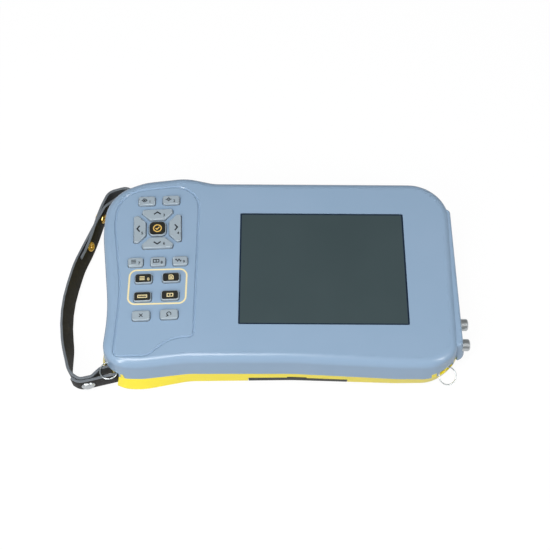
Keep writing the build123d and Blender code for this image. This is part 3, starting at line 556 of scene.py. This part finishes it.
print("strap")
strap = {
    "wide": 13.0,
    "thick": 2.0,
    "corner": 0.45,        # rounding of its cut edges
    "cut": 0.3,            # how deep the pale of the cut reaches
    "height": 12.1,        # middle of the leather's width at its two loops
    "sag": 4.6,            # how much lower it hangs between them
    "lean": 26.0,          # degrees, its upper edge outward, in the middle of the run
    "front": (-72.0, -44.0),   # it goes from upright to leaning between these
    "back": (64.0, 24.0),
    "secondLayer": 2.35,   # from the middle of one layer to the middle of the other
    "loop": 3.7,           # radius of its middle round a post
    "loopSlack": 0.02,     # a loop's two arcs stay this short of a half circle's radius
    "frontPost": (-109.76, -68.27),
    "backPost": (-106.26, 64.26),
    "frontPull": 194.0,    # degrees, the way the leather leaves its post
    "backPull": 125.0,
    "frontBend": (-119.3, -67.2, 5.0),
    # corners with their radius, from the front bend to the back one
    "run": [
        (-124.6, -73.5, 4.0),
        (-132.9, -75.5, 6.0),
        (-140.6, -70.6, 12.0),
        (-149.9, -22.0, 110.0),
        (-143.0, 14.5, 60.0),
        (-126.8, 59.2, 10.0),
    ],
    "backBend": (-114.8, 69.8, 4.5),
    "tailBend": (-110.4, 76.4, 6.5),
    "tailCorner": 9.0,
    "tailRise": 12.5,      # the second layer starts this far past the run's end
    "tailReach": 42.5,     # and ends this far before it
    "flapReach": 5.8,      # length of the flap that the snap holds, past its bend
}


def outside(start, end):
    # unit normal on the left of a run, which is its outer side
    way = np.subtract(end, start)[:2]
    return np.array([-way[1], way[0]]) / np.linalg.norm(way)


def loopCorners(post, pull, radius, slack):
    # two corners behind a post, so that the leather turns round it in a half circle
    way = np.array([math.cos(math.radians(pull)), math.sin(math.radians(pull))])
    side = np.array([-way[1], way[0]])
    behind = np.array(post) - way * radius
    arc = radius - slack
    return [(*(behind + side * radius), arc), (*(behind - side * radius), arc)]


def strapCorners(s):
    run, second = s["run"], s["secondLayer"]
    outBefore, outAfter = outside(run[0], run[1]), outside(run[1], run[2])
    # crossing of the two sides of the outer layer at the flap's bend
    bend = np.array(run[1][:2]) + (outBefore + outAfter) * second / (1 + outBefore @ outAfter)
    flapWay = np.subtract(run[2], run[1])[:2]
    flapWay = flapWay / np.linalg.norm(flapWay)
    flap = [
        (*(bend + flapWay * s["flapReach"]), 0),
        (*bend, run[1][2] + second),
        (*(np.array(run[0][:2]) + outBefore * second), run[0][2]),
    ]
    way = np.subtract(run[-1], run[-2])[:2]
    way = way / np.linalg.norm(way)
    line = np.array(run[-1][:2]) + outside(run[-2], run[-1]) * second
    tail = [
        s["tailBend"],
        (*(line + way * s["tailRise"]), s["tailCorner"]),
        (*(line - way * s["tailReach"]), 0),
    ]
    front = loopCorners(s["frontPost"], s["frontPull"], s["loop"], s["loopSlack"])
    back = loopCorners(s["backPost"], s["backPull"], s["loop"], s["loopSlack"])
    return [*flap, *front, s["frontBend"], *run, s["backBend"], *back, *tail]


def smooth(value):
    # 0 to 1 with level ends: three times the square less twice the cube
    value = np.clip(value, 0, 1)
    return value * value * (3 - 2 * value)


def strapLean(s, y):
    # share of the lean and the sag at a place along the housing's side
    front = smooth((y - s["front"][0]) / (s["front"][1] - s["front"][0]))
    back = smooth((s["back"][0] - y) / (s["back"][0] - s["back"][1]))
    return np.minimum(front, back)


def strapVectors(s, flat, sides):
    # middle line, outward vectors and upward vectors of the leaning leather
    share = strapLean(s, flat[:, 1])
    lean = np.radians(s["lean"]) * share
    points = np.column_stack([flat, s["height"] - s["sag"] * share])
    outward = np.column_stack([sides * np.cos(lean)[:, None], -np.sin(lean)])
    upward = np.column_stack([sides * np.sin(lean)[:, None], np.cos(lean)])
    return points, outward, upward


def makeStrap(s):
    flat = roundedPath(strapCorners(s))
    points, outward, upward = strapVectors(s, flat, pathSides(flat))
    section = roundedBox(s["thick"], s["wide"], s["corner"])
    shape = sweep(points, outward, upward, section)
    piece = addPiece("hand_strap", [shape], finishes["leather"], "strap", sharp=50)
    cut = (np.abs(section[:, 1]) > s["wide"] / 2 - s["cut"]).astype(float)
    outer = (section[:, 0] > 0).astype(float)
    for name, values in (("cut", cut), ("outer", outer)):
        layer = piece.data.attributes.new(name, "FLOAT", "POINT")
        layer.data.foreach_set("value", np.tile(values, len(flat)))
    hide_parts("strap")


makeStrap(strap)


def headFrame(s, a, b, back):
    # frame on the middle of the run between two corners, z pointing outward through the leather
    start, end = np.array(s["run"][a][:2]), np.array(s["run"][b][:2])
    way = (end - start) / np.linalg.norm(end - start)
    flat = (end - way * back)[None]
    points, outward, upward = strapVectors(s, flat, outside(start, end)[None])
    along = np.cross(upward[0], outward[0])
    return points[0], np.stack([along, upward[0], outward[0]])


def placed(shape, spot, axes):
    # a shape made about the origin, set on a frame
    points, faces = shape
    return points @ axes + spot, faces


rivets = {
    "backs": (6.4, 29.6),      # before the run's last corner
    "shank": 1.5,
    # radius and depth of the rolled face, from its front
    "face": [(0, 0.45), (0.5, 0.5), (1.1, 0.55), (1.6, 0.5), (2.1, 0.12), (2.6, 0), (3.1, 0.12),
             (3.5, 0.45)],
    # radius and height of the edges at the leather, inside and outside
    "inside": [(3.6, -0.2), (3.5, 0)],
    "outside": [(3.5, 0), (3.6, 0.3), (3.0, 0.8), (1.8, 1.1), (0, 1.1)],
    "headThick": 1.1,
    "eyelet": 2.1,
    "bore": 0.2,
    "petals": 6,
    "petalRise": 0.45,
    "segments": 48,
}


def petals(r, radius, turn):
    # the rolled middle of an eyelet, split in petals: a cosine that fades toward its rim
    fade = np.clip((r["eyelet"] - radius) / r["eyelet"], 0, 1) * (radius > r["bore"])
    return r["petalRise"] * fade * np.cos(r["petals"] * turn)


def makeRivets(r, s):
    inner = -s["thick"] / 2
    outer = s["secondLayer"] + s["thick"] / 2
    front = inner - r["headThick"]
    profile = [(radius, front + depth) for radius, depth in r["face"]]
    profile += [(radius, inner + rise) for radius, rise in r["inside"]]
    profile += [(r["shank"], inner), (r["shank"], outer)]
    profile += [(radius, outer + rise) for radius, rise in r["outside"]]
    shapes = []
    for back in r["backs"]:
        spot, axes = headFrame(s, -2, -1, back)
        points, faces = lathe(np.array(profile), r["segments"])
        # only the inner head is rolled into petals
        reach = np.hypot(points[:, 0], points[:, 1])
        turn = np.arctan2(points[:, 1], points[:, 0])
        rolled = points[:, 2] < inner
        points[:, 2] += np.where(rolled, petals(r, reach, turn), 0)
        shapes.append(placed((points, faces), spot, axes))
    piece = addPiece("strap_rivet_heads", shapes, finishes["brass"], "strap", sharp=30)
    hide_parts("strap_rivets")


makeRivets(rivets, strap)

snap = {
    "back": 3.7,       # along the run from its first corner
    "shank": 1.5,
    # radius and height of the rolled rim, above the leather
    "rim": [(4.45, 0), (4.6, 0.5), (4.3, 0.95)],
    "bowl": (3.9, 0.9, 1.5),       # its radius, where it starts and how far it rises
    "steps": 12,
    # radius and height of the head behind the leather
    "backHead": [(0, -1.0), (2.0, -1.0), (2.2, -0.8), (2.2, 0)],
}


def makeSnap(p, s):
    inner = -s["thick"] / 2
    outer = s["secondLayer"] + s["thick"] / 2
    profile = [(radius, inner + rise) for radius, rise in p["backHead"]]
    profile += [(p["shank"], inner), (p["shank"], outer)]
    profile += [(radius, outer + rise) for radius, rise in p["rim"]]
    # a shallow bowl: a quarter turn, cosine across and sine up
    radius, start, rise = p["bowl"]
    quarter = np.arange(p["steps"] + 1) / p["steps"] * math.pi / 2
    profile += [(radius * math.cos(a), outer + start + rise * math.sin(a)) for a in quarter]
    profile[-1] = (0, profile[-1][1])
    length = np.linalg.norm(np.subtract(s["run"][1], s["run"][0])[:2])
    spot, axes = headFrame(s, 0, 1, length - p["back"])
    shape = placed(lathe(np.array(profile)), spot, axes)
    piece = addPiece("strap_snap_cap", [shape], finishes["nickel"], "strap", sharp=40)
    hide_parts("strap_snap")


makeSnap(snap, strap)

print("prints")


def turned(points, turn):
    # rows of x, y turned about the origin
    c, s = math.cos(turn), math.sin(turn)
    x, y = np.asarray(points, float).T
    return np.column_stack([x * c - y * s, x * s + y * c])


def stroke(points, width, spot, turn, level, closed=False):
    # a line of even width and print thickness along flat points
    flat = turned(points, turn) + np.array(spot)
    sides = pathSides(flat, closed)
    count, half = len(flat), width / 2
    section = np.array([(-half, 0), (-half, printThick), (half, printThick), (half, 0)])
    middle = np.column_stack([flat, np.full(count, level)])
    across = np.column_stack([sides, np.zeros(count)])
    up = np.tile([0.0, 0.0, 1.0], (count, 1))
    return sweep(middle, across, up, section, closed)


def patch(outline, spot, turn, level):
    # flat print with the given outline
    flat = turned(outline, turn) + np.array(spot)
    count = len(flat)
    low = np.column_stack([flat, np.full(count, level)])
    high = low + (0, 0, printThick)
    faces = [list(range(count))[::-1], list(range(count, 2 * count))]
    faces += [[k, (k + 1) % count, (k + 1) % count + count, k + count] for k in range(count)]
    return np.vstack([low, high]), faces


def circle(radius, start=0.0, end=360.0, count=20):
    # radius times the cosine and the sine, between two angles in degrees
    angle = np.radians(np.linspace(start, end, count, endpoint=abs(end - start) < 360))
    return np.stack([radius * np.cos(angle), radius * np.sin(angle)], 1)


figure = {
    "size": 2.9,
    "bolder": 0.07,      # added round the font's outline
    "curveSteps": 3,
}


def numeral(text, spot, turn, level):
    # one figure as a thin solid, from the built-in font
    curve = bpy.data.curves.new("numeral", "FONT")
    curve.body, curve.size, curve.offset = text, figure["size"], figure["bolder"]
    curve.extrude, curve.resolution_u = printThick / 2, figure["curveSteps"]
    curve.align_x, curve.align_y = "CENTER", "CENTER"
    holder = bpy.data.objects.new("numeral", curve)
    mesh = bpy.data.meshes.new_from_object(holder)
    points = np.empty(len(mesh.vertices) * 3)
    mesh.vertices.foreach_get("co", points)
    points = points.reshape(-1, 3)
    faces = [list(polygon.vertices) for polygon in mesh.polygons]
    bpy.data.objects.remove(holder)
    bpy.data.meshes.remove(mesh)
    flat = turned(points[:, :2], turn) + np.array(spot)
    return np.column_stack([flat, points[:, 2] + level + printThick / 2]), faces


keys = {
    # centre of each key; its icon and where that is from the centre; its figure likewise
    "key_1": {
        "at": (-93.0, 51.2), "icon": "wheel", "iconAt": (-1.6, 0.3),
        "figure": "1", "figureAt": (2.2, -1.0),
    },
    "key_2": {
        "at": (-75.8, 52.1), "icon": "sun", "iconAt": (-1.8, 0.5),
        "figure": "2", "figureAt": (2.2, -1.0),
    },
    "key_7": {
        "at": (-97.8, 1.9), "icon": "bars", "iconAt": (-1.2, 0.3),
        "figure": "7", "figureAt": (2.6, -1.1),
    },
    "key_8": {
        "at": (-82.4, 2.6), "icon": "split", "iconAt": (-1.2, 0.3),
        "figure": "8", "figureAt": (2.6, -1.1),
    },
    "key_9": {
        "at": (-67.2, 3.3), "icon": "wave", "iconAt": (-1.2, 0.3),
        "figure": "9", "figureAt": (2.6, -1.1),
    },
    "key_menu": {
        "at": (-91.5, -10.6), "dark": True, "icon": "bars", "iconAt": (-0.9, 0),
        "figure": "0", "figureAt": (3.3, -0.9),
    },
    "key_memo": {"at": (-72.8, -9.6), "dark": True, "icon": "page", "iconAt": (0, 0)},
    "key_measure": {"at": (-91.4, -24.3), "dark": True, "icon": "ruler", "iconAt": (0, 0)},
    "key_note": {"at": (-72.8, -23.1), "dark": True, "icon": "split", "iconAt": (0, 0)},
    "key_clear": {"at": (-91.5, -38.4), "icon": "cross", "iconAt": (0, 0)},
    "key_reset": {"at": (-72.8, -37.2), "icon": "return", "iconAt": (0, 0)},
}
capPrint = (10.9, 6.1, 1.3)       # dark print on a cap: width, depth, corner
okPrint = (11.0, 10.2, 2.8)
cornerSteps = 4
padMiddle = (-84.2, 28.7)
chevronWidth = 0.95
thin = 0.56                       # width of the printed lines

waveAcross, waveHigh = np.linspace(-2, 2, 17), 0.9

icons = {
    # each a list of lines: points, closed
    "wheel": [
        (circle(1.25), True), (circle(0.35, count=8), True),
        ([(-2.1, 0), (-1.3, 0)], False), ([(1.3, 0), (2.1, 0)], False),
    ],
    "sun": [
        ([(0, 1.3), (1.3, 0), (0, -1.3), (-1.3, 0)], True), ([(0, 0.35), (0, -0.35)], False),
        ([(-2.2, 0), (-1.7, 0)], False), ([(1.7, 0), (2.2, 0)], False),
    ],
    "bars": [([(-1.7, y), (1.7, y)], False) for y in (1.1, 0, -1.1)],
    "split": [
        ([(-1.9, 1.1), (1.9, 1.1), (1.9, -1.1), (-1.9, -1.1)], True),
        ([(0, 1.1), (0, -1.1)], False),
    ],
    "wave": [(np.stack([waveAcross, waveHigh * np.sin(waveAcross * math.pi)], 1), False)],
    "page": [
        ([(-1.3, 1.5), (0.7, 1.5), (1.5, 0.7), (1.5, -1.5), (-1.3, -1.5)], True),
        ([(-0.6, 0.3), (0.8, 0.3)], False), ([(-0.6, -0.6), (0.8, -0.6)], False),
    ],
    "ruler": [
        ([(-3, 0.9), (3, 0.9), (3, -0.9), (-3, -0.9)], True),
        *[([(x, 0.9), (x, 0.1)], False) for x in (-2.0, -1.0, 0.0, 1.0, 2.0)],
    ],
    "cross": [([(-1.2, 1.2), (1.2, -1.2)], False), ([(-1.2, -1.2), (1.2, 1.2)], False)],
    "return": [
        (circle(1.4, -40, 250, 18), False),
        ([(-1.6, 0.1), (-0.45, -1.35), (-2.0, -1.75)], False),
    ],
}


def makeCapPrints():
    for name, key in keys.items():
        level, ink = keyTop, greyInk
        if key.get("dark"):
            ground = patch(roundedBox(*capPrint, cornerSteps), key["at"], keyTurn, level)
            addPiece(name + "_panel", [ground], darkInk, name)
            level += printThick
            ink = creamInk
        spot = np.array(key["at"]) + turned([key["iconAt"]], keyTurn)[0]
        shapes = [stroke(points, thin, spot, keyTurn, level, closed)
                  for points, closed in icons[key["icon"]]]
        if "figure" in key:
            spot = np.array(key["at"]) + turned([key["figureAt"]], keyTurn)[0]
            shapes.append(numeral(key["figure"], spot, keyTurn, level))
        addPiece(name + "_mark", shapes, ink, name)


makeCapPrints()

pad = {
    # chevron's tip and its figure's middle, from the middle of the pad; the way it points
    "key_up": ((-0.1, 13.2), 90, "3", (4.6, 10.4)),
    "key_left": ((-14.2, 0.2), 180, "5", (-10.6, -3.6)),
    "key_right": ((13.9, 0.2), 0, "4", (14.4, -4.6)),
    "key_down": ((-0.1, -12.6), 270, "6", (4.6, -12.4)),
}

chevron = [(-1.8, 2.4), (0, 0), (-1.8, -2.4)]

okMark = {
    "ring": circle(2.7, count=28),
    "ringWidth": 0.75,
    "tick": [(-1.2, 0.1), (-0.3, -0.9), (1.4, 1.1)],
    "tickWidth": 0.7,
}


def makePadPrints(m):
    for name, (tip, heading, text, textAt) in pad.items():
        arms = turned(chevron, math.radians(heading)) + np.array(tip)
        spot = np.array(padMiddle) + turned([textAt], keyTurn)[0]
        shapes = [
            stroke(arms, chevronWidth, padMiddle, keyTurn, keyTop),
            numeral(text, spot, keyTurn, keyTop),
        ]
        addPiece(name + "_mark", shapes, greyInk, name)
    ground = patch(roundedBox(*okPrint, cornerSteps), padMiddle, keyTurn, keyTop)
    addPiece("key_ok_panel", [ground], darkInk, "key_ok")
    level = keyTop + printThick
    ring = stroke(m["ring"], m["ringWidth"], padMiddle, keyTurn, level, True)
    tick = stroke(m["tick"], m["tickWidth"], padMiddle, keyTurn, level)
    addPiece("key_ok_mark", [ring, tick], goldInk, "key_ok")


makePadPrints(okMark)

frameLine = {
    # corners of the line round the four dark keys: x, y, radius
    "corners": [(-101.3, -29.6, 5.0), (-62.3, -28.2, 5.0), (-62.3, -2.2, 5.0), (-101.3, -3.8, 5.0)],
    "width": 1.1,
    "step": 40.0,      # longest piece of its straight runs
}


def makeFrameLine(f):
    # walked once round, from the middle of the last side
    corners = f["corners"]
    middle = (np.array(corners[-1][:2]) + np.array(corners[0][:2])) / 2
    path = roundedPath([(*middle, 0), *corners, (*middle, 0)], f["step"])[:-1]
    shape = stroke(path, f["width"], (0, 0), 0, topZ, True)
    addPiece("keypad_frame_line", [shape], creamInk, "housing")


makeFrameLine(frameLine)
